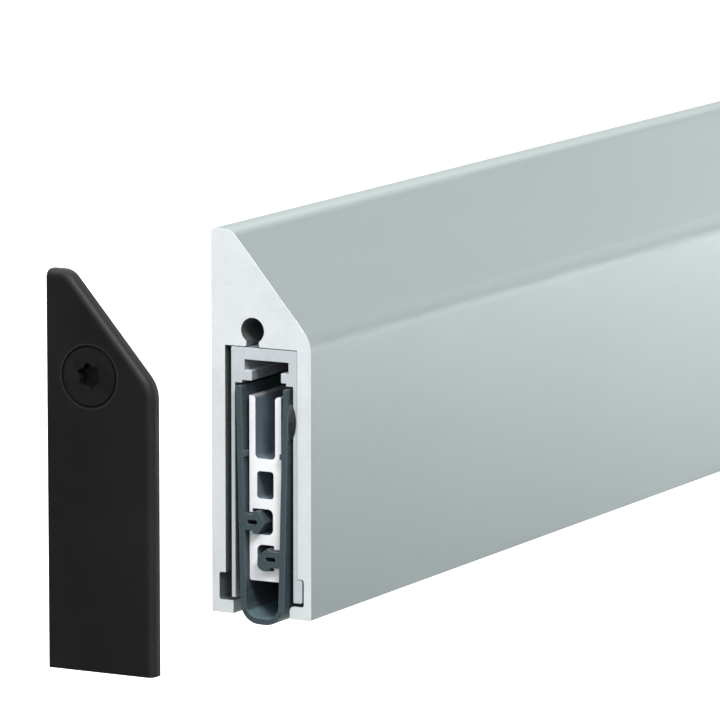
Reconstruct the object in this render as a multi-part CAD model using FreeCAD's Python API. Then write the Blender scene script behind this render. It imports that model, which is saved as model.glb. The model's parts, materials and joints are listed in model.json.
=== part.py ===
import FreeCAD, Part
import math
import os

V = FreeCAD.Vector
ARC = -1
OVER = 1.0

# Automatic door bottom seal for a glass door, in millimetres.
# X runs along the door, -Y is the side seen from the room, +Y the glass and +Z is up.
# Sections are drawn as (s, z): s is the depth from the glass side and z the height
# above the cover's bottom edge. place() moves the origin to the middle of the glass side.
# Cuts run past the solids that they open by OVER.

# Lengths along X
cover_length = 335.0
cap_thickness = 1.5
cap_standoff = 32.6
end_clearance = 0.15
seal_proud = 0.65
relief_clearance = 0.1

# Depths, stacked from the glass side to the front
cover_wall = 1.67
side_gap = 0.75
leg_thickness = 0.44
seal_clearance = 0.46
arm_thickness = 0.64
carrier_side_gap = 0.54
carrier_width = 3.84
arm_contact_gap = 0.02
left_arm_lean = 0.56
right_arm_lean = 0.64
bulge_height = 0.12
bulge_clearance = 0.10
front_clearance = 0.03

# Heights, stacked from the bottom edge up
lip_height = 1.4
pocket_height = 2.96
carrier_bottom = 3.8
barb_bottom_web = 1.15
barb_cavity_height = 2.75
barb_web = 1.1
hole_web = 1.12
hole_height = 2.94
floor_web = 1.34
channel_depth = 6.7
lift_gap = 1.6
ledge_thickness = 1.05
slot_height = 1.18
housing_roof = 1.27
top_clearance = 0.1
crown_height = 12.4

# Cover profile
ridge_inset = 2.43
slope_drop = 11.3
back_radius = 0.4
ridge_radius = 2.0
knee_radius = 3.6
edge_radius = 0.2
lip_opening = 6.8
lip_inset = 0.93
lip_round = 0.5
pocket_depth = 0.77
pocket_radius = 0.25
key_inset = 3.33
key_rise = 1.75
key_radius = 1.38
key_neck = 1.5
key_flare = 0.15

# Housing
leg_lift = 0.4
foot_reach = 0.62
foot_height = 2.5
foot_clearance = 0.06
shoulder_width = 0.84
housing_round = 0.15
foot_round = 0.2
ledge_round = 0.1
shoulder_drop = 0.3
slot_offset = 0.24

# Carrier rail
channel_wall = 0.73
channel_radius = 0.45
rim_radius = 0.4
carrier_corner = 0.25
hole_side = 0.93
hole_radius = 0.35
upper_skin = 0.38
upper_cavity_width = 2.45
lower_skin = 0.9
lower_cavity_width = 2.0
barb_neck_height = 1.9
barb_cavity_radius = 0.6
skin_round = 0.1
notch_lead = 4.6
notch_floor = 2.5

# Seal strip
seal_overhang = 0.77
seal_floor = 0.65
seal_outer_radius = 2.2
seal_inner_radius = 1.5
arm_top_gap = 0.24
bulge_length = 4.2
bulge_below_top = 3.55
free_bulge_height = 0.7
free_bulge_sink = 0.25
free_bulge_root = 0.1
free_bulge_gap = 0.06
stem_play = 0.08
upper_head_gap = 0.42
lower_head_gap = 0.08
barb_hole_height = 0.5
barb_hole_length = 1.25
barb_hole_round = 0.24
upper_hole_back = 0.68
lower_hole_back = 0.7
rib_height = 0.6
rib_depth = 0.25
rib_rise = 0.2
notch_radius = 0.12
notch_inset = 0.45
arm_round = 0.1
bulge_sink = 0.01
upper_head = [(0, -1.18, 0.2), (0.5, -1.24, 0.2), (1.5, 0, 0.2), (0.67, 1.24, 0.2), (0.1, 1.24, 0.25)]
lower_head = [(0.25, -1.29, 0.1), (0.93, -1.27, 0.3), (1.36, -0.87, 0.2), (1.5, -0.25, 0.15),
              (1.47, 0.28, 0.15), (0.27, 1.18, 0.12)]

# Lifting linkage, two alike units
link_length = 36.0
link_thickness = 0.78
link_gap = 0.25
link_radius = 1.0
mid_eye_radius = 1.25
pin_radius = 0.6
carrier_pin_height = 1.3
pivot_height_gap = 0.1
seal_drop = 10.0
unit_inset = 57.5
seat_room = 10.0
pivot_play = 0.03
open_pivot_rise = 0.2
open_pivot_run = 0.45
fixed_fit = 0.02
pin_inset = 0.1
open_pivot_round = 0.56

# Blocks that run or stand in the housing's slot
block_width = 3.2
neck_play = 0.15
head_play = 0.05
head_thickness = 0.4
cheek_thickness = 0.45
eye_room = 1.6
fork_tail = 1.8
solid_length = 6.0
block_bottom_gap = 0.4

# Push rod and its rivets
rod_width = 5.0
rod_thickness = 0.6
rod_play = 0.15
rod_lead = 2.0
rivet_radius = 0.8
rivet_head_radius = 1.3
rivet_rim = 0.08

# Fixing screws of the blocks
block_screw_radius = 1.0
block_screw_head_radius = 1.9
block_screw_rim = 0.1
screw_slot_play = 0.3
screw_floor = 0.4

# Plunger at the far end
plunger_radius = 1.5
plunger_wall = 0.45
plunger_side_wall = 0.3
plunger_floor_gap = 0.7
low_top_gap = 0.2
bush_length = 11.0
thrust_gap = 0.1
thrust_length = 10.5
spring_length = 16.0
seat_length = 7.0
spigot_radius = 1.1
spigot_length = 2.0
plunger_bore_depth = 8.5
spring_wire_radius = 0.25
spring_mean_radius = 1.45
spring_turns = 11
button_radius = 2.8
button_length = 6.0
button_clearance = 0.55
button_edge = 0.4
button_bore_depth = 3.0
button_hole_play = 0.3
hex_across_flats = 2.5
hex_depth = 2.4

# End caps and their screws
cap_edge = 0.85
cap_back_edge = 0.2
cap_overhang = 0.3
cap_bottom_inset = 0.15
cap_screw_radius = 1.3
cap_screw_head_radius = 3.05
cap_screw_rim = 0.15
cap_screw_cone = 0.95
cap_screw_collar_radius = 2.1
cap_screw_reach = 5.0
cap_screw_gap = 0.07
cap_screw_hole_play = 0.15
lobe_tip_radius = 1.55
lobe_root_radius = 1.08
lobe_tip_round = 0.26
lobe_root_round = 0.3
lobe_turn = 40.0
lobe_depth = 1.3

# Places worked out from the sizes above
x_left = -cover_length / 2
x_right = cover_length / 2
housing_s0 = cover_wall + side_gap
inner_s0 = housing_s0 + leg_thickness
seal_s0 = inner_s0 + seal_clearance
carrier_s0 = seal_s0 + arm_thickness + carrier_side_gap
carrier_s1 = carrier_s0 + carrier_width
slot_s = (carrier_s0 + carrier_s1) / 2 + slot_offset
fork_s0 = slot_s - block_width / 2 + cheek_thickness
link_s = (fork_s0 + carrier_s1 - channel_wall) / 2
seal_low_s1 = carrier_s1 + arm_contact_gap + arm_thickness
seal_s1 = seal_low_s1 + right_arm_lean
inner_s1 = seal_s1 + bulge_height + bulge_clearance
housing_s1 = inner_s1 + leg_thickness
cavity_s1 = housing_s1 + front_clearance
cover_depth = cavity_s1 + cover_wall

pocket_top = lip_height + pocket_height
lower_barb_z = carrier_bottom + barb_bottom_web + barb_cavity_height / 2
upper_barb_z = lower_barb_z + barb_cavity_height + barb_web
hole_z0 = upper_barb_z + barb_cavity_height / 2 + hole_web
channel_floor = hole_z0 + hole_height + floor_web
carrier_top = channel_floor + channel_depth
ledge_z = carrier_top + lift_gap
slot_floor = ledge_z + ledge_thickness
slot_top = slot_floor + slot_height
housing_top = slot_top + housing_roof
cavity_top = housing_top + top_clearance
key_s = cover_wall + key_inset
key_z = cavity_top + key_rise
cover_height = cavity_top + crown_height
arm_top = ledge_z - shoulder_drop - arm_top_gap

head_z0 = slot_floor + head_play
head_z1 = head_z0 + head_thickness
rod_z0 = head_z1 + head_play
rod_z1 = rod_z0 + rod_thickness
pivot_z = ledge_z - pivot_height_gap
block_bottom = carrier_top + block_bottom_gap
carrier_pin_z = channel_floor + carrier_pin_height
rest_rise = pivot_z - carrier_pin_z
rest_angle = math.asin(rest_rise / link_length)
dropped_angle = math.asin((rest_rise + seal_drop) / link_length)
slider_offset = link_length * math.cos(rest_angle)
plunger_travel = link_length * (math.cos(rest_angle) - math.cos(dropped_angle))

low_half_height = plunger_radius + plunger_wall
low_width = 2 * (plunger_radius + plunger_side_wall)
plunger_z = channel_floor + notch_floor + plunger_floor_gap + low_half_height
bush_x0 = x_right - bush_length
thrust_x1 = bush_x0 - thrust_gap
thrust_x0 = thrust_x1 - thrust_length
seat_x1 = thrust_x0 - spring_length
seat_x0 = seat_x1 - seat_length
unit_a_x = x_left + unit_inset
unit_b_x = seat_x0 - seat_room - solid_length - eye_room - slider_offset
unit_stations = [("a", unit_a_x), ("b", unit_b_x)]
cap_face_x = x_right + cap_thickness
button_x0 = cap_face_x + plunger_travel + button_clearance
button_x1 = button_x0 + button_length
main_link_s = link_s - link_gap / 2 - link_thickness
short_link_s = link_s + link_gap / 2


def outline(corners):
    """Closed wire in the YZ plane through (s, z, radius) corners.

    A corner whose radius is ARC is the middle point of an arc between its two neighbours."""
    points = [V(0, -s, z) for s, z, r in corners]
    count = len(points)
    starts = list(points)
    ends = list(points)
    edges = []
    for i, (s, z, r) in enumerate(corners):
        here, last, following = points[i], points[i - 1], points[(i + 1) % count]
        if r == ARC:
            edges.append(Part.Arc(last, here, following).toShape())
        elif r > 0:
            to_last = (last - here).normalize()
            to_next = (following - here).normalize()
            half = to_last.getAngle(to_next) / 2
            bisector = (to_last + to_next).normalize()
            starts[i] = here + to_last * (r / math.tan(half))
            ends[i] = here + to_next * (r / math.tan(half))
            middle = here + bisector * (r / math.sin(half) - r)
            edges.append(Part.Arc(starts[i], middle, ends[i]).toShape())
    for i in range(count):
        k = (i + 1) % count
        if ARC not in (corners[i][2], corners[k][2]) and ends[i].distanceToPoint(starts[k]) > 1e-6:
            edges.append(Part.makeLine(ends[i], starts[k]))
    return Part.Wire(Part.__sortEdges__(edges))


def prism(corners, x0, x1):
    """Solid with the section of those corners, from x0 to x1."""
    face = Part.Face(outline(corners))
    face.translate(V(x0, 0, 0))
    return face.extrude(V(x1 - x0, 0, 0))


def bar(s0, s1, z0, z1, x0, x1):
    """Rectangular solid between two depths, two heights and two places along X."""
    return Part.makeBox(x1 - x0, s1 - s0, z1 - z0, V(x0, -s1, z0))


def round_x(radius, s, z, x0, x1):
    """Cylinder along X."""
    return Part.makeCylinder(radius, x1 - x0, V(x0, -s, z), V(1, 0, 0))


def round_y(radius, x, z, s0, s1):
    """Cylinder across the depth."""
    return Part.makeCylinder(radius, s1 - s0, V(x, -s1, z), V(0, 1, 0))


def round_z(radius, x, z0, z1):
    """Upright cylinder in the slot's middle plane."""
    return Part.makeCylinder(radius, z1 - z0, V(x, -slot_s, z0), V(0, 0, 1))


def countersunk(x, top, bottom, shank_radius, head_radius, rim, grow):
    """Upright countersunk screw or rivet, or its hole when grow is over 0."""
    cone_height = head_radius - shank_radius
    shank = round_z(shank_radius + grow, x, bottom - grow, top)
    head = Part.makeCone(shank_radius + grow, head_radius + grow, cone_height,
                         V(x, -slot_s, top - rim - cone_height), V(0, 0, 1))
    disc = round_z(head_radius + grow, x, top - rim, top)
    return shank.fuse([head, disc])


def place(shape):
    """Solid in the part's frame, whose origin is the middle of the glass side."""
    done = shape.removeSplitter().Solids[0]
    done.translate(V(0, 0, -cover_height / 2))
    return done


# Cover and caps
def cover_corners(corner, bottom, low=0.0, overhang=0.0):
    """Outer outline of the cover, which the end caps share but for their overhang."""
    front = cover_depth + overhang
    return [(0, low, bottom), (0, cover_height, corner),
            (ridge_inset, cover_height, ridge_radius),
            (front, cover_height - slope_drop, knee_radius),
            (front, low, bottom)]


def cover_profile():
    body = prism(cover_corners(back_radius, edge_radius), x_left, x_right)
    lip_s0 = cover_wall + lip_inset
    lip_s1 = lip_s0 + lip_opening
    back = cover_wall - pocket_depth
    front = cavity_s1 + pocket_depth
    cavity = [
        (lip_s0, -OVER, 0), (lip_s0, lip_height, 0),
        (back, lip_height, pocket_radius), (back, pocket_top, pocket_radius),
        (cover_wall, pocket_top, 0), (cover_wall, cavity_top, 0),
        (cavity_s1, cavity_top, 0), (cavity_s1, pocket_top, 0),
        (front, pocket_top, pocket_radius), (front, lip_height, pocket_radius),
        (lip_s1, lip_height, lip_round), (lip_s1, -OVER, 0)]
    body = body.cut(prism(cavity, x_left - OVER, x_right + OVER))
    body = body.cut(round_x(key_radius, key_s, key_z, x_left - OVER, x_right + OVER))
    half = key_neck / 2
    wide = half + key_flare
    neck = [(key_s - half, key_z, 0), (key_s - half, cavity_top + key_flare, 0),
            (key_s - wide, cavity_top, 0), (key_s - wide, cavity_top - OVER, 0),
            (key_s + wide, cavity_top - OVER, 0), (key_s + wide, cavity_top, 0),
            (key_s + half, cavity_top + key_flare, 0), (key_s + half, key_z, 0)]
    return body.cut(prism(neck, x_left - OVER, x_right + OVER))


def cap_screw_body(face_x, out, grow, hole_play=0):
    """Countersunk cap screw whose head is flush with face_x, pointing along -out."""
    inward = V(-out, 0, 0)
    head = Part.makeCylinder(cap_screw_head_radius + grow, cap_screw_rim,
                             V(face_x, -key_s, key_z), inward)
    cone = Part.makeCone(cap_screw_head_radius + grow, cap_screw_collar_radius + grow, cap_screw_cone,
                         V(face_x - out * cap_screw_rim, -key_s, key_z), inward)
    collar = Part.makeCylinder(cap_screw_collar_radius + grow, cap_thickness,
                               V(face_x, -key_s, key_z), inward)
    shank = Part.makeCylinder(cap_screw_radius + hole_play, cap_thickness + cap_screw_reach,
                              V(face_x, -key_s, key_z), inward)
    return head.fuse([cone, collar, shank])


def lobe_recess(face_x, out):
    """Six-lobed driver recess in a cap screw's head."""
    corners = []
    for k in range(12):
        radius, soft = (lobe_root_radius, lobe_root_round) if k % 2 else (lobe_tip_radius, lobe_tip_round)
        angle = math.radians(lobe_turn + 30 * k)
        corners.append((key_s + radius * math.cos(angle), key_z + radius * math.sin(angle), soft))
    x0, x1 = sorted((face_x, face_x - out * lobe_depth))
    return prism(corners, x0, x1)


def cap_screw(face_x, out):
    return cap_screw_body(face_x, out, 0).cut(lobe_recess(face_x, out))


def end_cap(back_x, out):
    """End cap whose outer edge is rounded, least on the glass side and at the bottom."""
    face_x = back_x + out * cap_thickness
    x0, x1 = sorted((back_x, face_x))
    body = prism(cover_corners(0, 0, cap_bottom_inset, cap_overhang), x0, x1)
    rim = [e for e in body.Edges if all(abs(v.X - face_x) < 1e-6 for v in e.Vertexes)]
    plain = [e for e in rim if e.BoundBox.YMin > -1e-6 or e.BoundBox.ZMax < cap_bottom_inset + 1e-6]
    body = body.makeFillet(cap_edge, [e for e in rim if e not in plain])
    rim = [e for e in body.Edges if all(abs(v.X - face_x) < 1e-6 for v in e.Vertexes)]
    plain = [e for e in rim if e.BoundBox.YMin > -1e-6 or e.BoundBox.ZMax < cap_bottom_inset + 1e-6]
    body = body.makeFillet(cap_back_edge, plain)
    return body.cut(cap_screw_body(face_x, out, cap_screw_gap, cap_screw_hole_play))


def end_cap_left():
    """Left cap, relieved at its back so that the proud end of the seal has room."""
    back_x = x_left - cap_standoff
    depth = seal_proud + relief_clearance
    relief = bar(seal_s0 - relief_clearance, seal_s1 + free_bulge_height + relief_clearance,
                 -OVER, arm_top + relief_clearance, back_x - depth, back_x + OVER)
    return end_cap(back_x, -1).cut(relief)


def end_cap_right():
    hole = round_x(plunger_radius + button_hole_play, slot_s, plunger_z,
                   x_right - OVER, cap_face_x + OVER)
    return end_cap(x_right, 1).cut(hole)


# Inner housing
def block_screw_x(pin_x):
    """Place of an anchor block's screw, from the place of its pin."""
    return pin_x - eye_room - solid_length / 2


def fixing_stations():
    """Screw places of every block that stands in the slot."""
    anchors = [block_screw_x(x) for name, x in unit_stations]
    return anchors + [(seat_x0 + seat_x1) / 2, bush_x0 + bush_length / 2]


def housing_channel():
    foot_s = housing_s1 + foot_reach
    foot_z0 = lip_height + leg_lift
    foot_z1 = foot_z0 + foot_height
    shoulder_z = ledge_z - shoulder_drop
    slot_half = rod_width / 2 + rod_play
    neck_half = block_width / 2 + neck_play
    back = slot_s - neck_half
    front = slot_s + neck_half
    corners = [
        (housing_s0, foot_z0, 0), (housing_s0, housing_top, housing_round),
        (housing_s1, housing_top, housing_round), (housing_s1, foot_z1, 0),
        (foot_s, foot_z1 - foot_clearance, foot_round), (foot_s, foot_z0, foot_round),
        (inner_s1, foot_z0, 0), (inner_s1, shoulder_z, ledge_round),
        (inner_s1 - shoulder_width, shoulder_z, 0), (inner_s1 - shoulder_width, ledge_z, 0),
        (front, ledge_z, ledge_round), (front, slot_floor, ledge_round),
        (slot_s + slot_half, slot_floor, 0), (slot_s + slot_half, slot_top, 0),
        (slot_s - slot_half, slot_top, 0), (slot_s - slot_half, slot_floor, 0),
        (back, slot_floor, ledge_round), (back, ledge_z, ledge_round),
        (inner_s0 + shoulder_width, ledge_z, 0), (inner_s0 + shoulder_width, shoulder_z, 0),
        (inner_s0, shoulder_z, ledge_round), (inner_s0, foot_z0, 0)]
    body = prism(corners, x_left, x_right)
    for x in fixing_stations():
        body = body.cut(block_screw(x, fixed_fit))
    return body


def block_screw(x, grow=0.0):
    return countersunk(x, housing_top, block_bottom + screw_floor, block_screw_radius,
                       block_screw_head_radius, block_screw_rim, grow)


# Carrier rail and seal strip
def barb_cavity(skin_s, out, width, z, x0, x1):
    """Undercut groove behind the skin that ends at skin_s, with its neck towards -out."""
    half = barb_cavity_height / 2
    neck = barb_neck_height / 2
    far = skin_s + out * width
    room = prism([(skin_s, z - half, skin_round), (skin_s, z + half, skin_round),
                  (far, z + half, barb_cavity_radius), (far, z - half, barb_cavity_radius)], x0, x1)
    s0, s1 = sorted((skin_s + out * barb_cavity_radius, skin_s - out * (lower_skin + OVER)))
    return room.fuse(bar(s0, s1, z - neck, z + neck, x0, x1))


def carrier_rail():
    x0 = x_left + end_clearance
    x1 = x_right - end_clearance
    inside0 = carrier_s0 + channel_wall
    inside1 = carrier_s1 - channel_wall
    corners = [
        (carrier_s0, carrier_bottom, carrier_corner), (carrier_s0, carrier_top, 0),
        (inside0, carrier_top, rim_radius), (inside0, channel_floor, channel_radius),
        (inside1, channel_floor, channel_radius), (inside1, carrier_top, rim_radius),
        (carrier_s1, carrier_top, 0), (carrier_s1, carrier_bottom, carrier_corner)]
    body = prism(corners, x0, x1)
    hole = [(carrier_s0 + hole_side, hole_z0, hole_radius),
            (carrier_s0 + hole_side, hole_z0 + hole_height, hole_radius),
            (carrier_s1 - hole_side, hole_z0 + hole_height, hole_radius),
            (carrier_s1 - hole_side, hole_z0, hole_radius)]
    cut0 = x0 - OVER
    cut1 = x1 + OVER
    upper = barb_cavity(carrier_s0 + upper_skin, 1, upper_cavity_width, upper_barb_z, cut0, cut1)
    lower = barb_cavity(carrier_s1 - lower_skin, -1, lower_cavity_width, lower_barb_z, cut0, cut1)
    body = body.cut([prism(hole, cut0, cut1), upper, lower])
    notch = bar(carrier_s0 - OVER, carrier_s1 + OVER, channel_floor + notch_floor,
                carrier_top + OVER, seat_x0 - notch_lead, x_right)
    body = body.cut(notch)
    for name, x in unit_stations:
        hole = round_y(pin_radius + fixed_fit, x, carrier_pin_z,
                       carrier_s0 - OVER, carrier_s1 + OVER)
        body = body.cut(hole)
    return body


def arm_inner(z, front):
    """Depth of an arm's inner face at height z."""
    share = (z + seal_overhang) / (arm_top + seal_overhang)
    if front:
        return seal_low_s1 - arm_thickness + share * right_arm_lean
    return seal_s0 + left_arm_lean + arm_thickness - share * left_arm_lean


def barb(head_s, z, out, head, hole_back, x0, x1):
    """Barb from an arm: a stem that widens at head_s to the head's (u, dz, radius) corners.

    out is the head's way along s. Returns the barb and the hole through its stem."""
    stem = barb_neck_height / 2 - stem_play
    root_s = arm_inner(z, out < 0) - out * arm_thickness / 2
    corners = [(root_s, z - stem, 0), (head_s, z - stem, 0)]
    corners += [(head_s + out * u, z + dz, r) for u, dz, r in head]
    corners += [(head_s, z + stem, 0), (root_s, z + stem, 0)]
    near = head_s - out * hole_back
    s0, s1 = sorted((near, near + out * barb_hole_length))
    half = barb_hole_height / 2
    r = barb_hole_round
    hole = prism([(s0, z - half, r), (s0, z + half, r), (s1, z + half, r), (s1, z - half, r)],
                 x0 - OVER, x1 + OVER)
    return prism(corners, x0, x1), hole


def seal_bulge(height, x0, x1):
    """Rounded bulge on the front arm's outer side."""
    z = arm_top - bulge_below_top
    half = bulge_length / 2
    base = arm_inner(z, True) + arm_thickness / 2
    low = arm_inner(z - half, True) + arm_thickness - bulge_sink
    high = arm_inner(z + half, True) + arm_thickness - bulge_sink
    corners = [(base, z - half, 0), (low, z - half, 0), (seal_s1 + height, z, ARC),
               (high, z + half, 0), (base, z + half, 0)]
    return prism(corners, x0, x1)


def free_bulge():
    """Swelling on the front arm's proud end: part of an ellipsoid that ends ahead of the housing."""
    z = arm_top - bulge_below_top
    s = arm_inner(z, True) + arm_thickness - free_bulge_sink
    end = x_left - free_bulge_gap
    half = bulge_length / 2
    crest = s + free_bulge_height + free_bulge_sink
    stretch = FreeCAD.Matrix()
    stretch.scale(seal_proud - free_bulge_gap, crest - s, half)
    swell = Part.makeSphere(1.0)
    swell.rotate(V(0, 0, 0), V(0, 1, 0), 90)
    swell = swell.transformGeometry(stretch)
    swell.translate(V(end, -s, z))
    return swell.common(bar(s - free_bulge_root, crest, z - half, z + half, x_left - seal_proud, end))


def seal_ribs(x0, x1):
    """Small grip ribs on the arms' inner faces, level with the channel's floor."""
    z0 = channel_floor + rib_rise
    z1 = z0 + rib_height
    back = arm_inner(z0, False)
    front = arm_inner(z0, True)
    return [bar(back - arm_thickness / 2, back + rib_depth, z0, z1, x0, x1),
            bar(front - rib_depth, front + arm_thickness / 2, z0, z1, x0, x1)]


def seal_strip():
    x0 = x_left - seal_proud
    x1 = x_right - end_clearance
    low = -seal_overhang
    floor = low + seal_floor
    low_s0 = seal_s0 + left_arm_lean
    arm = arm_thickness
    corners = [
        (seal_s0, arm_top, arm_round), (low_s0, low, seal_outer_radius),
        (seal_low_s1, low, seal_outer_radius), (seal_s1, arm_top, arm_round),
        (seal_s1 - arm, arm_top, arm_round), (seal_low_s1 - arm, floor, seal_inner_radius),
        (low_s0 + arm, floor, seal_inner_radius), (seal_s0 + arm, arm_top, arm_round)]
    body = prism(corners, x0, x1)
    bulges = [seal_bulge(bulge_height, x_left, x1), free_bulge()]
    upper, upper_hole = barb(carrier_s0 + upper_skin + upper_head_gap, upper_barb_z, 1, upper_head,
                             upper_hole_back, x0, x1)
    lower, lower_hole = barb(carrier_s1 - lower_skin - lower_head_gap, lower_barb_z, -1, lower_head,
                             lower_hole_back, x0, x1)
    body = body.fuse(bulges + seal_ribs(x0, x1) + [upper, lower])
    notches = [round_x(notch_radius, s, floor + notch_inset, x0 - OVER, x1 + OVER)
               for s in (low_s0 + arm - notch_radius, seal_low_s1 - arm + notch_radius)]
    return body.cut([upper_hole, lower_hole] + notches)


# Linkage
def link(x, z, length, angle, s, eyes, thickness=link_thickness):
    """Flat link from (x, z) at an angle, with eyes given as (distance, eye radius, hole radius)."""
    solids = [bar(0, thickness, -link_radius, link_radius, 0, length)]
    holes = []
    for distance, eye, hole in eyes:
        solids.append(round_y(eye, distance, 0, 0, thickness))
        holes.append(round_y(hole, distance, 0, -OVER, thickness + OVER))
    body = solids[0].fuse(solids[1:]).cut(holes)
    body.rotate(V(0, 0, 0), V(0, -1, 0), math.degrees(angle))
    body.translate(V(x, -s, z))
    return body


def main_link(x):
    running = pin_radius + pivot_play
    fixed = pin_radius + fixed_fit
    eyes = [(0, link_radius, running), (link_length / 2, link_radius, fixed),
            (link_length, link_radius, fixed)]
    return link(x, carrier_pin_z, link_length, rest_angle, main_link_s, eyes)


def short_link(x):
    half = link_length / 2
    eyes = [(0, link_radius, pin_radius + pivot_play),
            (half, mid_eye_radius, pin_radius + open_pivot_rise)]
    return link(x, pivot_z, half, -rest_angle, short_link_s, eyes)


def mid_pin(x):
    half = link_length / 2
    pin_x = x + half * math.cos(rest_angle)
    pin_z = pivot_z - half * math.sin(rest_angle)
    return round_y(pin_radius, pin_x, pin_z, main_link_s, short_link_s + link_thickness)


def block_body(x0, x1, bottom):
    """Block whose head stands on the housing's ledges and whose neck hangs between them."""
    head_half = rod_width / 2
    neck_half = block_width / 2
    head = bar(slot_s - head_half, slot_s + head_half, head_z0, head_z1, x0, x1)
    neck = bar(slot_s - neck_half, slot_s + neck_half, bottom, head_z1, x0, x1)
    return head.fuse(neck)


def fork_block(pin_x, side, pin_hole):
    """Block with a solid part on one side of its pin and a fork around the link's eye."""
    solid = sorted((pin_x + side * eye_room, pin_x + side * (eye_room + solid_length)))
    fork = sorted((pin_x + side * eye_room, pin_x - side * fork_tail))
    body = block_body(min(solid + fork), max(solid + fork), block_bottom)
    inside = block_width / 2 - cheek_thickness
    slot = bar(slot_s - inside, slot_s + inside, block_bottom - OVER, head_z0, fork[0], fork[1])
    return body.cut([slot, pin_hole])


def anchor_block(x):
    hole = round_y(pin_radius + fixed_fit, x, pivot_z, 0, cover_depth)
    screw = block_screw(block_screw_x(x), fixed_fit)
    return fork_block(x, -1, hole).cut(screw)


def slider_block(x):
    """Slider whose pin hole is a slot, longer and higher than the pin's own size."""
    pin_x = x + slider_offset
    r = pin_radius + pivot_play
    slot = Part.makeBox(open_pivot_run + 2 * r, cover_depth, 2 * r + open_pivot_rise,
                        V(pin_x - r, -cover_depth, pivot_z - r))
    rounded = slot.makeFillet(open_pivot_round, [e for e in slot.Edges if abs(e.Length - cover_depth) < 1e-6])
    body = fork_block(pin_x, 1, rounded)
    return body.cut(rivet(rivet_x(pin_x), fixed_fit))


def rivet_x(pin_x):
    return pin_x + eye_room + solid_length / 2


def rivet(x, grow=0.0):
    """Countersunk rivet that holds a slider under the push rod."""
    return countersunk(x, rod_z1, block_bottom + screw_floor, rivet_radius,
                       rivet_head_radius, rivet_rim, grow)


def block_pin(x):
    """Pin across a fork's cheeks, a little inside their outer faces."""
    half = block_width / 2 - pin_inset
    return round_y(pin_radius, x, pivot_z, slot_s - half, slot_s + half)


def rod_rivet_stations():
    sliders = [rivet_x(x + slider_offset) for name, x in unit_stations]
    return sliders + [thrust_x0 + thrust_length / 2]


def push_rod():
    """Flat rod in the slot above the blocks, slotted for the screws that it passes."""
    x0 = unit_stations[0][1] + slider_offset - fork_tail - rod_lead
    body = bar(slot_s - rod_width / 2, slot_s + rod_width / 2, rod_z0, rod_z1, x0, thrust_x1)
    reach = block_screw_radius + screw_slot_play
    for x in fixing_stations():
        if x0 < x < thrust_x1:
            slot = bar(slot_s - reach, slot_s + reach, rod_z0 - OVER, rod_z1 + OVER,
                       x - reach, x + reach + plunger_travel)
            body = body.cut(slot)
    for x in rod_rivet_stations():
        body = body.cut(rivet(x, fixed_fit))
    return body


# Plunger, spring and their blocks
def low_block(x0, x1):
    """Block that also reaches down around the plunger's axis."""
    half = low_width / 2
    low = bar(slot_s - half, slot_s + half, plunger_z - low_half_height, ledge_z - low_top_gap, x0, x1)
    return block_body(x0, x1, block_bottom).fuse(low)


def spring_seat():
    spigot = round_x(spigot_radius, slot_s, plunger_z, seat_x1, seat_x1 + spigot_length)
    body = low_block(seat_x0, seat_x1).fuse(spigot)
    return body.cut(block_screw((seat_x0 + seat_x1) / 2, fixed_fit))


def thrust_block():
    spigot = round_x(spigot_radius, slot_s, plunger_z, thrust_x0 - spigot_length, thrust_x0)
    bore = round_x(plunger_radius + pivot_play, slot_s, plunger_z,
                   thrust_x1 - plunger_bore_depth, thrust_x1 + OVER)
    body = low_block(thrust_x0, thrust_x1).fuse(spigot).cut(bore)
    return body.cut(rivet(thrust_x0 + thrust_length / 2, fixed_fit))


def plunger_bush():
    bore = round_x(plunger_radius + pivot_play, slot_s, plunger_z, bush_x0 - OVER, x_right + OVER)
    body = low_block(bush_x0, x_right).cut(bore)
    return body.cut(block_screw(bush_x0 + bush_length / 2, fixed_fit))


def plunger_screw():
    """Threaded rod that carries the button and turns in the thrust block."""
    x0 = thrust_x1 - plunger_bore_depth + thrust_gap
    return round_x(plunger_radius, slot_s, plunger_z, x0, button_x0 + button_bore_depth)


def plunger_button():
    """Button that meets the door frame, with a hexagon socket for adjustment."""
    body = round_x(button_radius, slot_s, plunger_z, button_x0, button_x1)
    rim = [e for e in body.Edges if len(e.Vertexes) == 1 and abs(e.Vertexes[0].X - button_x1) < 1e-6]
    body = body.makeFillet(button_edge, rim)
    bore = round_x(plunger_radius + fixed_fit, slot_s, plunger_z, button_x0 - OVER,
                   button_x0 + button_bore_depth + fixed_fit)
    across = hex_across_flats / 2 / math.cos(math.radians(30))
    hexagon = [(slot_s + across * math.cos(math.radians(60 * k)),
                plunger_z + across * math.sin(math.radians(60 * k)), 0) for k in range(6)]
    return body.cut([bore, prism(hexagon, button_x1 - hex_depth, button_x1 + OVER)])


def return_spring():
    """Compression spring between the fixed seat and the thrust block."""
    height = spring_length - 2 * (spring_wire_radius + fixed_fit)
    helix = Part.makeHelix(height / spring_turns, height, spring_mean_radius)
    circle = Part.makeCircle(spring_wire_radius, V(spring_mean_radius, 0, 0), V(0, 1, 0))
    coil = Part.Wire(helix.Edges).makePipeShell([Part.Wire(circle)], True, True)
    coil.rotate(V(0, 0, 0), V(0, 1, 0), 90)
    coil.translate(V(seat_x1 + spring_wire_radius + fixed_fit, -slot_s, plunger_z))
    return coil


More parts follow.
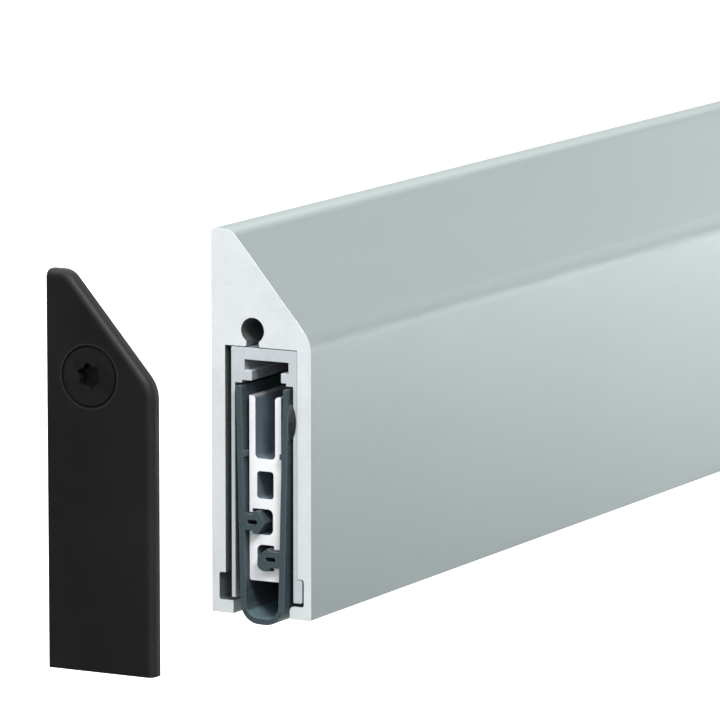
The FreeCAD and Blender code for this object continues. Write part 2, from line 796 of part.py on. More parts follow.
def pieces():
    """Every piece of the seal by its name."""
    cap_back = x_left - cap_standoff
    done = {
        "cover_profile": cover_profile(),
        "housing_channel": housing_channel(),
        "carrier_rail": carrier_rail(),
        "seal_strip": seal_strip(),
        "end_cap_left": end_cap_left(),
        "cap_screw_left": cap_screw(cap_back - cap_thickness, -1),
        "end_cap_right": end_cap_right(),
        "cap_screw_right": cap_screw(cap_face_x, 1),
        "push_rod": push_rod(),
        "thrust_block": thrust_block(),
        "thrust_rivet": rivet(thrust_x0 + thrust_length / 2),
        "spring_seat": spring_seat(),
        "seat_screw": block_screw((seat_x0 + seat_x1) / 2),
        "plunger_bush": plunger_bush(),
        "bush_screw": block_screw(bush_x0 + bush_length / 2),
        "plunger_screw": plunger_screw(),
        "plunger_button": plunger_button(),
        "return_spring": return_spring(),
    }
    for name, x in unit_stations:
        done["main_link_" + name] = main_link(x)
        done["short_link_" + name] = short_link(x)
        done["mid_pin_" + name] = mid_pin(x)
        done["carrier_pin_" + name] = round_y(pin_radius, x, carrier_pin_z, carrier_s0, carrier_s1)
        done["anchor_block_" + name] = anchor_block(x)
        done["anchor_pin_" + name] = block_pin(x)
        done["anchor_screw_" + name] = block_screw(block_screw_x(x))
        done["slider_block_" + name] = slider_block(x)
        done["slider_pin_" + name] = block_pin(x + slider_offset)
        done["slider_rivet_" + name] = rivet(rivet_x(x + slider_offset))
    return done


os.makedirs("parts", exist_ok=True)
for node, shape in pieces().items():
    place(shape).exportStep("parts/" + node + ".step")
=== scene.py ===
import bpy
import bmesh
import json
import math
from mathutils import Matrix, Vector


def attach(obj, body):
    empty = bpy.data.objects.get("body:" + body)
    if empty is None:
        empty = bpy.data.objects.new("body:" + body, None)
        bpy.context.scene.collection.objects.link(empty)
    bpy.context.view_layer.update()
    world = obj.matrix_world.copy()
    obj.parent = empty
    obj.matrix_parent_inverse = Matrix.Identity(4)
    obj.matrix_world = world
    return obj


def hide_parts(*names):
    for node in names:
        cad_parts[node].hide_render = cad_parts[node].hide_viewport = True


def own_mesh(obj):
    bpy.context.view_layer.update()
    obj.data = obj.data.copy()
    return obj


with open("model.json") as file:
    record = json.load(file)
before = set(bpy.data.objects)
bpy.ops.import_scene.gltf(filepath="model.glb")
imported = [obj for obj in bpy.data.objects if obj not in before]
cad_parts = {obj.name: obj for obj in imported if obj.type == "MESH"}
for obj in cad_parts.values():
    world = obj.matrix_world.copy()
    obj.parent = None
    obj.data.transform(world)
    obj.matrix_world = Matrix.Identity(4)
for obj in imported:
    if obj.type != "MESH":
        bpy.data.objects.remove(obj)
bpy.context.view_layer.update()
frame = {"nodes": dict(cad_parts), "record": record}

# The sRGB curve
SRGB_STRAIGHT_END = 0.04045
SRGB_STRAIGHT_SLOPE = 12.92
SRGB_OFFSET = 0.055
SRGB_POWER = 2.4


def rgb(red, green, blue):
    """Linear colour from sRGB parts of 255."""
    parts = []
    for value in (red / 255, green / 255, blue / 255):
        if value <= SRGB_STRAIGHT_END:
            parts.append(value / SRGB_STRAIGHT_SLOPE)
        else:
            parts.append(((value + SRGB_OFFSET) / (1 + SRGB_OFFSET)) ** SRGB_POWER)
    return (*parts, 1.0)


MM = 0.001

# Places on the object, in the CAD frame
COVER_HALF = 20.625 * MM
X_LEFT = -167.5 * MM
SCREW_Y = -5.0 * MM
SCREW_Z = 9.975 * MM
SLOT_LEDGE_Z = 5.675 * MM
CARRIER_RIM_Z = 2.8 * MM
LEDGE_BAND = 0.25 * MM
LEDGE_SOFT = 0.02 * MM
# Bounds of the seal chamber floor's painted light and of the free bulge's painted shade
CHAMBER_FLOOR_Z = (-20.9 * MM, -20.0 * MM)
CHAMBER_FLOOR_Y = (-8.5 * MM, -4.3 * MM)
CHAMBER_SOFT_Z = 0.1 * MM
CHAMBER_SOFT_Y = 0.2 * MM
FREE_BULGE_Z = (-1.8 * MM, 4.9 * MM)
FREE_BULGE_Y = (-9.45 * MM, -9.75 * MM)
FREE_BULGE_X = (-166.8 * MM, -166.95 * MM)
BULGE_SOFT = 0.1 * MM

# Radii round the cap screw's axis, which bound the painted shade and painted highlight there
SEAT_SHADE = (2.9 * MM, 3.25 * MM)
SEAT_RIM = (3.27 * MM, 3.35 * MM)
HEAD_RIM_SHADE = (2.95 * MM, 3.3 * MM)
SHADE_SOFT = 0.02 * MM
RIM_SOFT = 0.03 * MM

# The return spring
SPRING_START = 130.17 * MM
SPRING_END = 145.63 * MM
SPRING_Y = -6.66 * MM
SPRING_Z = 1.475 * MM
SPRING_RADIUS = 1.45 * MM
SPRING_TURNS = 11
SPRING_STEPS = 32
WIRE_RADIUS = 0.25 * MM
WIRE_SIDES = 14

# Edge radii and relief of the surfaces
EDGE_RADIUS = 0.06 * MM
MOULDED_EDGE_RADIUS = 0.08 * MM
BLOCK_EDGE_RADIUS = 0.1 * MM
# Radius that sets the width of the painted highlight along the rubber's sharp edges
RUBBER_HIGHLIGHT_LINE = 0.07 * MM
EDGE_SAMPLES = 4
GRAIN_HEIGHT = 0.03 * MM
FINE_HEIGHT = 0.02 * MM

# Shares that tell cut ends, upward faces and sharp edges from the other faces
END_SPAN = (0.75, 0.95)
UPWARD_SPAN = (0.5, 0.8)
EDGE_SPAN = (1.0, 0.8)

# Noise patterns: scale per metre along X, Y and Z, detail, roughness, and turn about X in degrees
NOISE_MARGIN = 0.3
NARROW_MARGIN = 0.35
DIE_LINES = dict(scale=(6, 2600, 2600), detail=4.0, roughness=0.6)
PROFILE_CLOUD = dict(scale=(14, 60, 60), detail=3.0, roughness=0.5)
PROFILE_GRAIN = dict(scale=(9000, 9000, 9000), detail=2.0, roughness=0.6)
SAW_MARKS = dict(scale=(900, 900, 6000), detail=4.0, roughness=0.7, turn=35)
SAW_BLOTCH = dict(scale=(260, 260, 260), detail=3.0, roughness=0.55)
RUBBER_LINES = dict(scale=(20, 3500, 3500), detail=3.0, roughness=0.6)
RUBBER_GRAIN = dict(scale=(5200, 5200, 5200), detail=3.0, roughness=0.6)
CAP_GRAIN = dict(scale=(4200, 4200, 4200), detail=4.0, roughness=0.6)
CAP_CLOUD = dict(scale=(120, 120, 120), detail=3.0, roughness=0.5)
SCREW_GRAIN = dict(scale=(5000, 5000, 5000), detail=3.0, roughness=0.6)
SCREW_PATCH = dict(scale=(500, 500, 500), detail=3.0, roughness=0.6)
METAL_PATCH = dict(scale=(420, 420, 420), detail=4.0, roughness=0.6)
METAL_LINES = dict(scale=(1500, 7000, 7000), detail=3.0, roughness=0.6)
BLOCK_GRAIN = dict(scale=(3800, 3800, 3800), detail=3.0, roughness=0.6)
FLOOR_CLOUD = dict(scale=(3, 3, 3), detail=2.0, roughness=0.5)

# Extruded aluminium: how far the noises move its tone, roughness and height
SIDE_LINE_TONE = 0.5
SIDE_CLOUD_TONE = 1.0
SIDE_TONE_REACH = 1.2
SIDE_DARKEST = 0.955
END_NOISE_TONE = 0.6
END_TONE_REACH = 1.1
END_DARKEST = 0.86
SIDE_ROUGH_SWING = 0.06
END_ROUGH_SWING = 0.12
LINE_DEPTH = 0.35
GRAIN_DEPTH = 0.25
SAW_DEPTH = 0.5
FINE_SAW_DEPTH = 0.3

# Strength of each surface's relief
PROFILE_BUMP = 0.35
RUBBER_BUMP = 0.25
CAP_BUMP = 0.30
SCREW_BUMP = 0.2
METAL_BUMP = 0.25
BLOCK_BUMP = 0.3

# Roughness, from the lowest to the highest where a noise moves it
RUBBER_ROUGH = (0.52, 0.66)
CAP_ROUGH = (0.46, 0.54)
SCREW_ROUGH = (0.36, 0.48)
BLOCK_ROUGH = (0.42, 0.52)
METAL_LINE_ROUGH = 0.06
FLOOR_ROUGH = 0.85
CARD_ROUGH = 0.9

# Colours, darkest first where a noise moves between two
RUBBER_SIDE = (rgb(40, 49, 53), rgb(52, 62, 67))
RUBBER_CUT = (rgb(44, 56, 60), rgb(55, 68, 72))
# Painted light: the seal chamber's floor is paler, as if lit through the open end
CHAMBER_PAINTED_LIGHT = rgb(70, 88, 93)
# Painted shade: the free bulge is near black, as if in shadow
FREE_BULGE_PAINTED_SHADE = rgb(9, 11, 12)
# Painted highlight: pale line along the rubber's sharp edges, and how strongly it shows
RUBBER_EDGE_PAINTED_HIGHLIGHT = rgb(135, 150, 154)
RUBBER_EDGE_HIGHLIGHT_SHARE = 0.5
CAP_FACE = (rgb(14, 14, 14), rgb(19, 19, 18))
# Painted light: the cap's sides are paler than its face
CAP_SIDE_PAINTED_LIGHT = (rgb(25, 25, 24), rgb(30, 30, 29))
# Painted highlight on the rim of the screw's seat
SEAT_RIM_PAINTED_HIGHLIGHT = rgb(40, 40, 39)
SHADE_COLOR = rgb(4, 4, 4)
SCREW_BLACK = (rgb(13, 13, 14), rgb(18, 18, 19))
BLOCK_GREY = (rgb(70, 71, 74), rgb(84, 85, 88))
FLOOR_WHITE = ((0.90, 0.90, 0.90, 1), (0.93, 0.93, 0.93, 1))
CARD_COLOR = (0.12, 0.125, 0.125, 1)
# Painted light on upward faces at a ledge's height
LEDGE_PAINTED_LIGHT = (0.95, 0.97, 0.98, 1)

# Floor, and the card that darkens reflections: corners and the spans over which it fades out
FLOOR_Z = -0.100
FLOOR_HALF = 25.0
CARD_LIFT = 0.002
CARD_LOW = (-1.4, -1.0)
CARD_HIGH = (0.6, 1.2)
FADE_BEHIND_Y = (-0.15, 0.05)
FADE_BEHIND_X = (-0.25, 0.0)
FADE_RIGHT_X = (0.32, 0.50)
FADE_LEFT_X = (-0.95, -1.35)
FADE_FRONT_Y = (-0.60, -0.95)

# Camera, with angles in degrees and its place given from the aim along its own axes
CAMERA_AZIMUTH = -61.95
CAMERA_ELEVATION = 9.13
CAMERA_AIM = (X_LEFT, -0.006, 0.020 - COVER_HALF)
CAMERA_RIGHT = 0.01045
CAMERA_UP = 0.00745
CAMERA_BACK = 0.7043
CAMERA_LENS = 333.4
SENSOR_WIDTH = 36.0
CLIP_START = 0.01
CLIP_END = 60.0

# Lights: name, place, aim, width, height, power and spread in degrees
WIDE = 180.0
LIGHTS = (
    ("top", (0.1, 0.3, 1.8), (0.0, 0.2, 0.0), 4.0, 3.2, 62.0, WIDE),
    ("back_floor", (1.7, 1.2, 1.2), (1.7, 1.2, 0.0), 2.0, 2.0, 12.0, WIDE),
    ("key", (-0.62, -0.54, 0.74), (-0.19, 0.0, 0.0), 0.28, 0.28, 14.0, WIDE),
    ("end_card", (-1.25, -0.40, 0.30), (-0.17, 0.0, 0.0), 0.7, 0.5, 4.2, WIDE),
    ("end_top", (-1.15, -0.05, 0.95), (-0.17, 0.0, 0.0), 0.5, 0.5, 6.0, WIDE),
    ("floor_light", (1.10, -0.36, 0.90), (1.10, -0.36, 0.0), 0.7, 0.5, 25.0, 46.0),
    ("side_card", (0.95, -0.24, 0.08), (0.06, 0.0, 0.0), 0.35, 0.16, 0.45, WIDE),
    ("slope_card", (0.85, -0.12, 0.20), (0.14, 0.0, 0.0), 0.30, 0.20, 0.95, WIDE),
    ("cap_top", (-0.27, 0.35, 0.80), (-0.2, 0.0, 0.0), 0.25, 0.25, 1.5, WIDE),
)
WORLD_COLOR = (0.96, 0.985, 1.0, 1)
WORLD_STRENGTH = 0.48


class Tree:
    """A material's node tree with short calls for the nodes that the surfaces here need."""

    def __init__(self, name):
        self.material = bpy.data.materials.new(name)
        self.material.use_nodes = True
        self.nodes = self.material.node_tree.nodes
        self.links = self.material.node_tree.links
        self.nodes.clear()
        self.shader = self.nodes.new("ShaderNodeBsdfPrincipled")
        out = self.nodes.new("ShaderNodeOutputMaterial")
        self.join(self.shader.outputs[0], out.inputs["Surface"])
        self.coord = self.nodes.new("ShaderNodeTexCoord")

    def join(self, source, target):
        self.links.new(source, target)

    def feed(self, socket, value):
        """Link value to socket where it is one too, else set it as a number or colour."""
        if isinstance(value, bpy.types.NodeSocket):
            self.join(value, socket)
        else:
            socket.default_value = value

    def math(self, how, *values):
        node = self.nodes.new("ShaderNodeMath")
        node.operation = how
        for i, value in enumerate(values):
            self.feed(node.inputs[i], value)
        return node.outputs[0]

    def between(self, share, first, second):
        """Number from first at share 0 to second at share 1."""
        step = self.math("MULTIPLY", share, self.math("SUBTRACT", second, first))
        return self.math("ADD", first, step)

    def swung(self, middle, noise, swing):
        """Number that noise moves about its middle, over a range of swing."""
        return self.math("ADD", middle - swing / 2, self.math("MULTIPLY", noise, swing))

    def mapped(self, vector, setting, value):
        """Vector after a Mapping node whose Scale or Rotation is value."""
        node = self.nodes.new("ShaderNodeMapping")
        node.inputs[setting].default_value = value
        self.join(vector, node.inputs["Vector"])
        return node.outputs[0]

    def noise(self, scale, detail, roughness, turn=0.0):
        """Noise in object coordinates times scale, after a turn about X in degrees."""
        vector = self.coord.outputs["Object"]
        if turn:
            vector = self.mapped(vector, "Rotation", (math.radians(turn), 0, 0))
        node = self.nodes.new("ShaderNodeTexNoise")
        self.join(self.mapped(vector, "Scale", scale), node.inputs["Vector"])
        node.inputs["Scale"].default_value = 1.0
        node.inputs["Detail"].default_value = detail
        node.inputs["Roughness"].default_value = roughness
        return node.outputs["Fac"]

    def span(self, value, low, high, to_low=0.0, to_high=1.0):
        """Value from low to high, stretched to to_low and to_high and held there beyond them."""
        node = self.nodes.new("ShaderNodeMapRange")
        for i, number in enumerate((value, low, high, to_low, to_high)):
            self.feed(node.inputs[i], number)
        return node.outputs[0]

    def usual(self, noise, to_low=0.0, to_high=1.0, margin=NOISE_MARGIN):
        """The range in which a noise mostly lies, stretched to to_low and to_high."""
        return self.span(noise, margin, 1.0 - margin, to_low, to_high)

    def blend(self, share, first, second):
        node = self.nodes.new("ShaderNodeMix")
        node.data_type = "RGBA"
        self.feed(node.inputs["Factor"], share)
        self.feed(node.inputs["A"], first)
        self.feed(node.inputs["B"], second)
        return node.outputs["Result"]

    def bump(self, height, strength, distance, edge_radius):
        """Relief on top of edges that are rounded to edge_radius."""
        node = self.nodes.new("ShaderNodeBump")
        node.inputs["Strength"].default_value = strength
        node.inputs["Distance"].default_value = distance
        self.feed(node.inputs["Height"], height)
        self.join(self.edge_round(edge_radius), node.inputs["Normal"])
        return node.outputs[0]

    def edge_round(self, radius):
        node = self.nodes.new("ShaderNodeBevel")
        node.samples = EDGE_SAMPLES
        node.inputs["Radius"].default_value = radius
        return node.outputs[0]

    def parts(self, name):
        """X, Y and Z of the texture coordinates called name."""
        split = self.nodes.new("ShaderNodeSeparateXYZ")
        self.join(self.coord.outputs[name], split.inputs[0])
        return split.outputs

    def end_share(self):
        """1 on faces that look along X, 0 on the long sides."""
        size = self.math("ABSOLUTE", self.parts("Normal")[0])
        return self.span(size, *END_SPAN)

    def inside(self, value, low, high, soft):
        """1 between low and high, with a soft edge on both sides."""
        rise = self.span(value, low - soft, low + soft)
        fall = self.span(value, high + soft, high - soft)
        return self.math("MINIMUM", rise, fall)

    def screw_radius(self):
        """Distance from the cap screw's axis."""
        place = self.parts("Object")
        across = self.math("SUBTRACT", place[1], SCREW_Y)
        above = self.math("SUBTRACT", place[2], SCREW_Z)
        across_squared = self.math("MULTIPLY", across, across)
        above_squared = self.math("MULTIPLY", above, above)
        return self.math("SQRT", self.math("ADD", across_squared, above_squared))

    def edge_share(self, radius):
        """1 on sharp edges, 0 on flat faces."""
        true_normal = self.nodes.new("ShaderNodeNewGeometry").outputs["True Normal"]
        compare = self.nodes.new("ShaderNodeVectorMath")
        compare.operation = "DOT_PRODUCT"
        self.join(self.edge_round(radius), compare.inputs[0])
        self.join(true_normal, compare.inputs[1])
        return self.span(compare.outputs["Value"], *EDGE_SPAN)

    def finish(self, color, roughness, normal=None, **plain):
        self.feed(self.shader.inputs["Base Color"], color)
        self.feed(self.shader.inputs["Roughness"], roughness)
        if normal is not None:
            self.join(normal, self.shader.inputs["Normal"])
        for name, value in plain.items():
            self.shader.inputs[name.replace("_", " ")].default_value = value
        return self.material


def darker(color, share):
    """Colour with its red, green and blue times share."""
    return [value * share for value in color[:3]] + [1]


# Materials
def extruded_aluminium(name, side, end, side_rough, end_rough, side_metal, end_metal,
                       saw=SAW_DEPTH, painted_light_z=None):
    """Extruded profile: die lines along its length, and saw and file marks on its cut ends.

    Where a ledge height is given, upward faces near that height are painted paler, as painted light
    from above.
    """
    t = Tree(name)
    ends = t.end_share()
    die = t.noise(**DIE_LINES)
    cloud = t.noise(**PROFILE_CLOUD)
    grain = t.noise(**PROFILE_GRAIN)
    cut = t.noise(**SAW_MARKS)
    blotch = t.noise(**SAW_BLOTCH)

    side_tone = t.math("ADD", t.usual(die, -SIDE_LINE_TONE, SIDE_LINE_TONE),
                       t.usual(cloud, -SIDE_CLOUD_TONE, SIDE_CLOUD_TONE))
    side_share = t.span(side_tone, -SIDE_TONE_REACH, SIDE_TONE_REACH)
    side_color = t.blend(side_share, darker(side, SIDE_DARKEST), side)
    end_tone = t.math("ADD", t.usual(cut, -END_NOISE_TONE, END_NOISE_TONE),
                      t.usual(blotch, -END_NOISE_TONE, END_NOISE_TONE))
    end_share = t.span(end_tone, -END_TONE_REACH, END_TONE_REACH)
    end_color = t.blend(end_share, darker(end, END_DARKEST), end)
    # Painted light: upward faces at the ledge height are paler, as if lit from above
    if painted_light_z is not None:
        z = t.parts("Object")[2]
        level = t.inside(z, painted_light_z - LEDGE_BAND, painted_light_z + LEDGE_BAND, LEDGE_SOFT)
        upward = t.span(t.parts("Normal")[2], *UPWARD_SPAN)
        side_color = t.blend(t.math("MULTIPLY", level, upward), side_color, LEDGE_PAINTED_LIGHT)
    color = t.blend(ends, side_color, end_color)

    rough_side = t.swung(side_rough, die, SIDE_ROUGH_SWING)
    rough_end = t.swung(end_rough, cut, END_ROUGH_SWING)
    rough = t.between(ends, rough_side, rough_end)
    lines = t.math("MULTIPLY", die, LINE_DEPTH)
    height_side = t.math("ADD", lines, t.math("MULTIPLY", grain, GRAIN_DEPTH))
    height_end = t.math("MULTIPLY", cut, saw)
    height = t.between(ends, height_side, height_end)
    normal = t.bump(height, PROFILE_BUMP, GRAIN_HEIGHT, EDGE_RADIUS)
    t.join(t.span(ends, 0.0, 1.0, side_metal, end_metal), t.shader.inputs["Metallic"])
    return t.finish(color, rough, normal)


def rubber():
    """Dark grey rubber, with a painted highlight along its sharp edges, painted light on the chamber
    floor and painted shade on the free bulge.
    """
    t = Tree("seal_rubber")
    ends = t.end_share()
    die = t.noise(**RUBBER_LINES)
    grain = t.noise(**RUBBER_GRAIN)
    side = t.blend(t.usual(die), *RUBBER_SIDE)
    cut = t.blend(t.usual(grain), *RUBBER_CUT)
    color = t.blend(ends, side, cut)

    x, y, z = t.parts("Object")
    # Painted light on the chamber floor
    chamber = t.math("MULTIPLY", t.inside(z, *CHAMBER_FLOOR_Z, CHAMBER_SOFT_Z),
                     t.inside(y, *CHAMBER_FLOOR_Y, CHAMBER_SOFT_Y))
    chamber = t.math("MULTIPLY", chamber, t.math("SUBTRACT", 1.0, ends))
    color = t.blend(chamber, color, CHAMBER_PAINTED_LIGHT)
    # Painted shade on the free bulge
    bulge = t.math("MULTIPLY", t.inside(z, *FREE_BULGE_Z, BULGE_SOFT), t.span(y, *FREE_BULGE_Y))
    bulge = t.math("MULTIPLY", bulge, t.span(x, *FREE_BULGE_X))
    color = t.blend(bulge, color, FREE_BULGE_PAINTED_SHADE)
    # Painted highlight along the sharp edges
    edges = t.math("MULTIPLY", t.edge_share(RUBBER_HIGHLIGHT_LINE), RUBBER_EDGE_HIGHLIGHT_SHARE)
    color = t.blend(edges, color, RUBBER_EDGE_PAINTED_HIGHLIGHT)

    rough = t.usual(grain, *RUBBER_ROUGH)
    normal = t.bump(t.math("ADD", die, grain), RUBBER_BUMP, GRAIN_HEIGHT, EDGE_RADIUS)
    return t.finish(color, rough, normal, Specular_IOR_Level=0.3)


def cap_plastic():
    """Black moulded plastic, with its sides painted paler than its face as painted light, painted
    shade in the screw's seat and a painted highlight on the rim of that seat.
    """
    t = Tree("cap_plastic")
    grain = t.noise(**CAP_GRAIN)
    cloud = t.noise(**CAP_CLOUD)
    face = t.blend(t.usual(cloud), *CAP_FACE)
    side = t.blend(t.usual(cloud), *CAP_SIDE_PAINTED_LIGHT)
    # Sides painted paler than the face, as painted light
    color = t.blend(t.end_share(), side, face)
    radius = t.screw_radius()
    # Painted highlight on the seat's rim, then painted shade in the seat round the screw
    color = t.blend(t.inside(radius, *SEAT_RIM, RIM_SOFT), color, SEAT_RIM_PAINTED_HIGHLIGHT)
    color = t.blend(t.inside(radius, *SEAT_SHADE, SHADE_SOFT), color, SHADE_COLOR)
    rough = t.usual(cloud, *CAP_ROUGH)
    normal = t.bump(grain, CAP_BUMP, GRAIN_HEIGHT, MOULDED_EDGE_RADIUS)
    return t.finish(color, rough, normal, Specular_IOR_Level=0.13)


def black_screw():
    """Blackened screw with painted shade on the rim of its head."""
    t = Tree("black_screw")
    grain = t.noise(**SCREW_GRAIN)
    patch = t.noise(**SCREW_PATCH)
    color = t.blend(t.usual(patch, margin=NARROW_MARGIN), *SCREW_BLACK)
    # Painted shade on the rim of the screw head
    color = t.blend(t.inside(t.screw_radius(), *HEAD_RIM_SHADE, SHADE_SOFT), color, SHADE_COLOR)
    rough = t.usual(patch, *SCREW_ROUGH)
    normal = t.bump(grain, SCREW_BUMP, FINE_HEIGHT, EDGE_RADIUS)
    return t.finish(color, rough, normal, Specular_IOR_Level=0.14)


def drawn_metal(name, low, high, rough_low, rough_high):
    """Bare or plated metal with fine lines along X."""
    t = Tree(name)
    patch = t.noise(**METAL_PATCH)
    fine = t.noise(**METAL_LINES)
    color = t.blend(t.usual(patch), low, high)
    fine_rough = t.math("MULTIPLY", fine, METAL_LINE_ROUGH)
    rough = t.math("ADD", t.usual(patch, rough_low, rough_high), fine_rough)
    normal = t.bump(fine, METAL_BUMP, FINE_HEIGHT, EDGE_RADIUS)
    return t.finish(color, rough, normal, Metallic=1.0)


def block_plastic():
    """Grey moulded plastic of the blocks."""
    t = Tree("block_plastic")
    grain = t.noise(**BLOCK_GRAIN)
    color = t.blend(t.usual(grain, margin=NARROW_MARGIN), *BLOCK_GREY)
    normal = t.bump(grain, BLOCK_BUMP, GRAIN_HEIGHT, BLOCK_EDGE_RADIUS)
    return t.finish(color, t.usual(grain, *BLOCK_ROUGH), normal)


def floor_material():
    """Pale, matt studio floor."""
    t = Tree("studio_floor")
    color = t.blend(t.usual(t.noise(**FLOOR_CLOUD)), *FLOOR_WHITE)
    return t.finish(color, FLOOR_ROUGH, Specular_IOR_Level=0.1)


def dark_card_material():
    """Grey card in front of the object and round its near end, which fades out elsewhere."""
    t = Tree("dark_card")
    x, y, _ = t.parts("Object")
    behind = t.math("MINIMUM", t.span(y, *FADE_BEHIND_Y), t.span(x, *FADE_BEHIND_X))
    right_end = t.span(x, *FADE_RIGHT_X)
    left_end = t.span(x, *FADE_LEFT_X)
    front = t.span(y, *FADE_FRONT_Y)
    faded = t.math("MAXIMUM", t.math("MAXIMUM", behind, right_end),
                   t.math("MAXIMUM", left_end, front))
    t.join(t.math("SUBTRACT", 1.0, faded), t.shader.inputs["Alpha"])
    return t.finish(CARD_COLOR, CARD_ROUGH, Specular_IOR_Level=0.1)


MATERIALS = {
    "satin_aluminium": extruded_aluminium(
        "satin_aluminium", side=(0.355, 0.40, 0.396, 1), end=(0.74, 0.77, 0.785, 1),
        side_rough=0.46, end_rough=0.52, side_metal=0.95, end_metal=0.5),
    "mill_aluminium": extruded_aluminium(
        "mill_aluminium", side=(0.50, 0.52, 0.54, 1), end=(0.60, 0.648, 0.678, 1),
        side_rough=0.38, end_rough=0.46, side_metal=0.75, end_metal=0.5, painted_light_z=SLOT_LEDGE_Z),
    "bright_aluminium": extruded_aluminium(
        "bright_aluminium", side=(0.45, 0.54, 0.61, 1), end=(0.90, 0.92, 0.93, 1),
        side_rough=0.34, end_rough=0.50, side_metal=0.85, end_metal=0.4,
        saw=FINE_SAW_DEPTH, painted_light_z=CARRIER_RIM_Z),
    "seal_rubber": rubber(),
    "cap_plastic": cap_plastic(),
    "black_screw": black_screw(),
    "plated_steel": drawn_metal(
        "plated_steel", low=(0.50, 0.51, 0.52, 1), high=(0.62, 0.62, 0.60, 1),
        rough_low=0.26, rough_high=0.38),
    "spring_steel": drawn_metal(
        "spring_steel", low=(0.34, 0.35, 0.37, 1), high=(0.44, 0.45, 0.47, 1),
        rough_low=0.22, rough_high=0.32),
    "brass": drawn_metal(
        "brass", low=(0.68, 0.49, 0.22, 1), high=(0.78, 0.60, 0.30, 1),
        rough_low=0.24, rough_high=0.36),
    "block_plastic": block_plastic(),
}
for entry in frame["record"]["subparts"]:
    node = frame["nodes"][entry["node"]]
    node.data.materials.clear()
    node.data.materials.append(MATERIALS[entry["material_slot"]])


def wire_ring(mesh, step, rise):
    """Ring of vertices round the wire at a step of the coil, which goes rise along X in each."""
    turn = 2 * math.pi * step / SPRING_STEPS
    outward = Vector((0, math.sin(turn), -math.cos(turn)))
    round_way = Vector((0, math.cos(turn), math.sin(turn)))
    forward = round_way * (SPRING_RADIUS * 2 * math.pi / SPRING_STEPS) + Vector((rise, 0, 0))
    side = forward.normalized().cross(outward)
    centre = Vector((SPRING_START + rise * step, SPRING_Y, SPRING_Z)) + outward * SPRING_RADIUS
    ring = []
    for j in range(WIRE_SIDES):
        angle = 2 * math.pi * j / WIRE_SIDES
        across = outward * math.cos(angle) + side * math.sin(angle)
        ring.append(mesh.verts.new(centre + across * WIRE_RADIUS))
    return ring


def coil_mesh():
    """Round wire wound along X, with flat ends."""
    mesh = bmesh.new()
    steps = SPRING_TURNS * SPRING_STEPS
    rise = (SPRING_END - SPRING_START) / steps
    rings = [wire_ring(mesh, step, rise) for step in range(steps + 1)]
    for first, second in zip(rings, rings[1:]):
        for j in range(WIRE_SIDES):
            k = (j + 1) % WIRE_SIDES
            face = mesh.faces.new((first[j], first[k], second[k], second[j]))
            face.smooth = True
    mesh.faces.new(list(reversed(rings[0])))
    mesh.faces.new(rings[-1])
    bmesh.ops.recalc_face_normals(mesh, faces=mesh.faces)
    data = bpy.data.meshes.new("return_spring_coil")
    mesh.to_mesh(data)
    mesh.free()
    return data


def coil_spring():
    """The return spring, drawn as a coil of round wire that rides on the profile in place of the CAD
    spring.
    """
    spring = bpy.data.objects.new("return_spring_coil", coil_mesh())
    spring.data.materials.append(MATERIALS["spring_steel"])
    bpy.context.scene.collection.objects.link(spring)
    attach(spring, "profile")
    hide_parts("return_spring")
    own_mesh(spring)


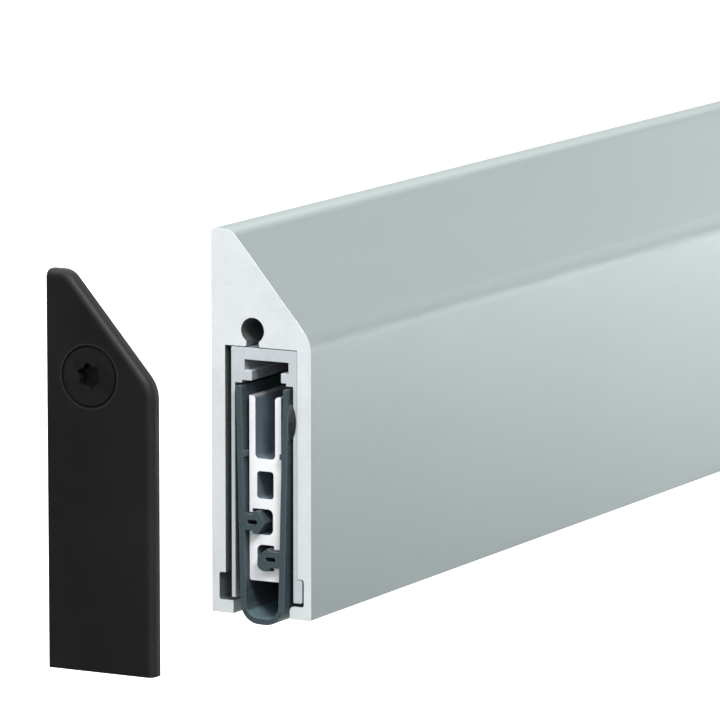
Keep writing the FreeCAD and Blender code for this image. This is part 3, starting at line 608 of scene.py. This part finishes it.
def photo_camera():
    """Camera at the photograph's angle."""
    azimuth = math.radians(CAMERA_AZIMUTH)
    elevation = math.radians(CAMERA_ELEVATION)
    back = Vector((math.sin(azimuth) * math.cos(elevation), -math.cos(azimuth) * math.cos(elevation),
                   math.sin(elevation)))
    right = Vector((math.cos(azimuth), math.sin(azimuth), 0))
    up = back.cross(right)
    place = Vector(CAMERA_AIM) + right * CAMERA_RIGHT + up * CAMERA_UP + back * CAMERA_BACK
    data = bpy.data.cameras.new("photo_camera")
    data.lens = CAMERA_LENS
    data.sensor_width = SENSOR_WIDTH
    data.sensor_fit = "HORIZONTAL"
    data.clip_start = CLIP_START
    data.clip_end = CLIP_END
    camera = bpy.data.objects.new("photo_camera", data)
    bpy.context.scene.collection.objects.link(camera)
    camera.matrix_world = Matrix((
        (right.x, up.x, back.x, place.x), (right.y, up.y, back.y, place.y),
        (right.z, up.z, back.z, place.z), (0, 0, 0, 1)))
    bpy.context.scene.camera = camera


def staged_sheet(name, low, high, z, material):
    """Flat sheet from low to high (x, y) at height z, which isn't part of the object."""
    mesh = bpy.data.meshes.new(name)
    corners = [(low[0], low[1], z), (high[0], low[1], z),
               (high[0], high[1], z), (low[0], high[1], z)]
    mesh.from_pydata(corners, [], [(0, 1, 2, 3)])
    mesh.materials.append(material)
    sheet = bpy.data.objects.new(name, mesh)
    bpy.context.scene.collection.objects.link(sheet)
    return sheet


def studio():
    """Floor, and the card, which shows in reflections alone."""
    staged_sheet("studio_floor", (-FLOOR_HALF, -FLOOR_HALF), (FLOOR_HALF, FLOOR_HALF), FLOOR_Z,
                 floor_material())
    card = staged_sheet("dark_card", CARD_LOW, CARD_HIGH, FLOOR_Z + CARD_LIFT, dark_card_material())
    card.visible_camera = False
    card.visible_shadow = False


def area_light(name, place, aim, width, height, power, spread):
    """Rectangular light at place that looks at aim and isn't seen by the camera."""
    data = bpy.data.lights.new(name, "AREA")
    data.shape = "RECTANGLE"
    data.size = width
    data.size_y = height
    data.energy = power
    data.spread = math.radians(spread)
    lamp = bpy.data.objects.new(name, data)
    bpy.context.scene.collection.objects.link(lamp)
    lamp.location = place
    direction = Vector(aim) - Vector(place)
    lamp.rotation_mode = "QUATERNION"
    lamp.rotation_quaternion = direction.to_track_quat("-Z", "Y")
    lamp.visible_camera = False


def lights():
    """Even light from the world, and the area lights."""
    world = bpy.data.worlds.new("studio")
    world.use_nodes = True
    background = world.node_tree.nodes["Background"]
    background.inputs["Color"].default_value = WORLD_COLOR
    background.inputs["Strength"].default_value = WORLD_STRENGTH
    bpy.context.scene.world = world
    for light in LIGHTS:
        area_light(*light)


coil_spring()
photo_camera()
studio()
lights()
scene = bpy.context.scene
scene.view_settings.view_transform = "Standard"
scene.view_settings.look = "None"
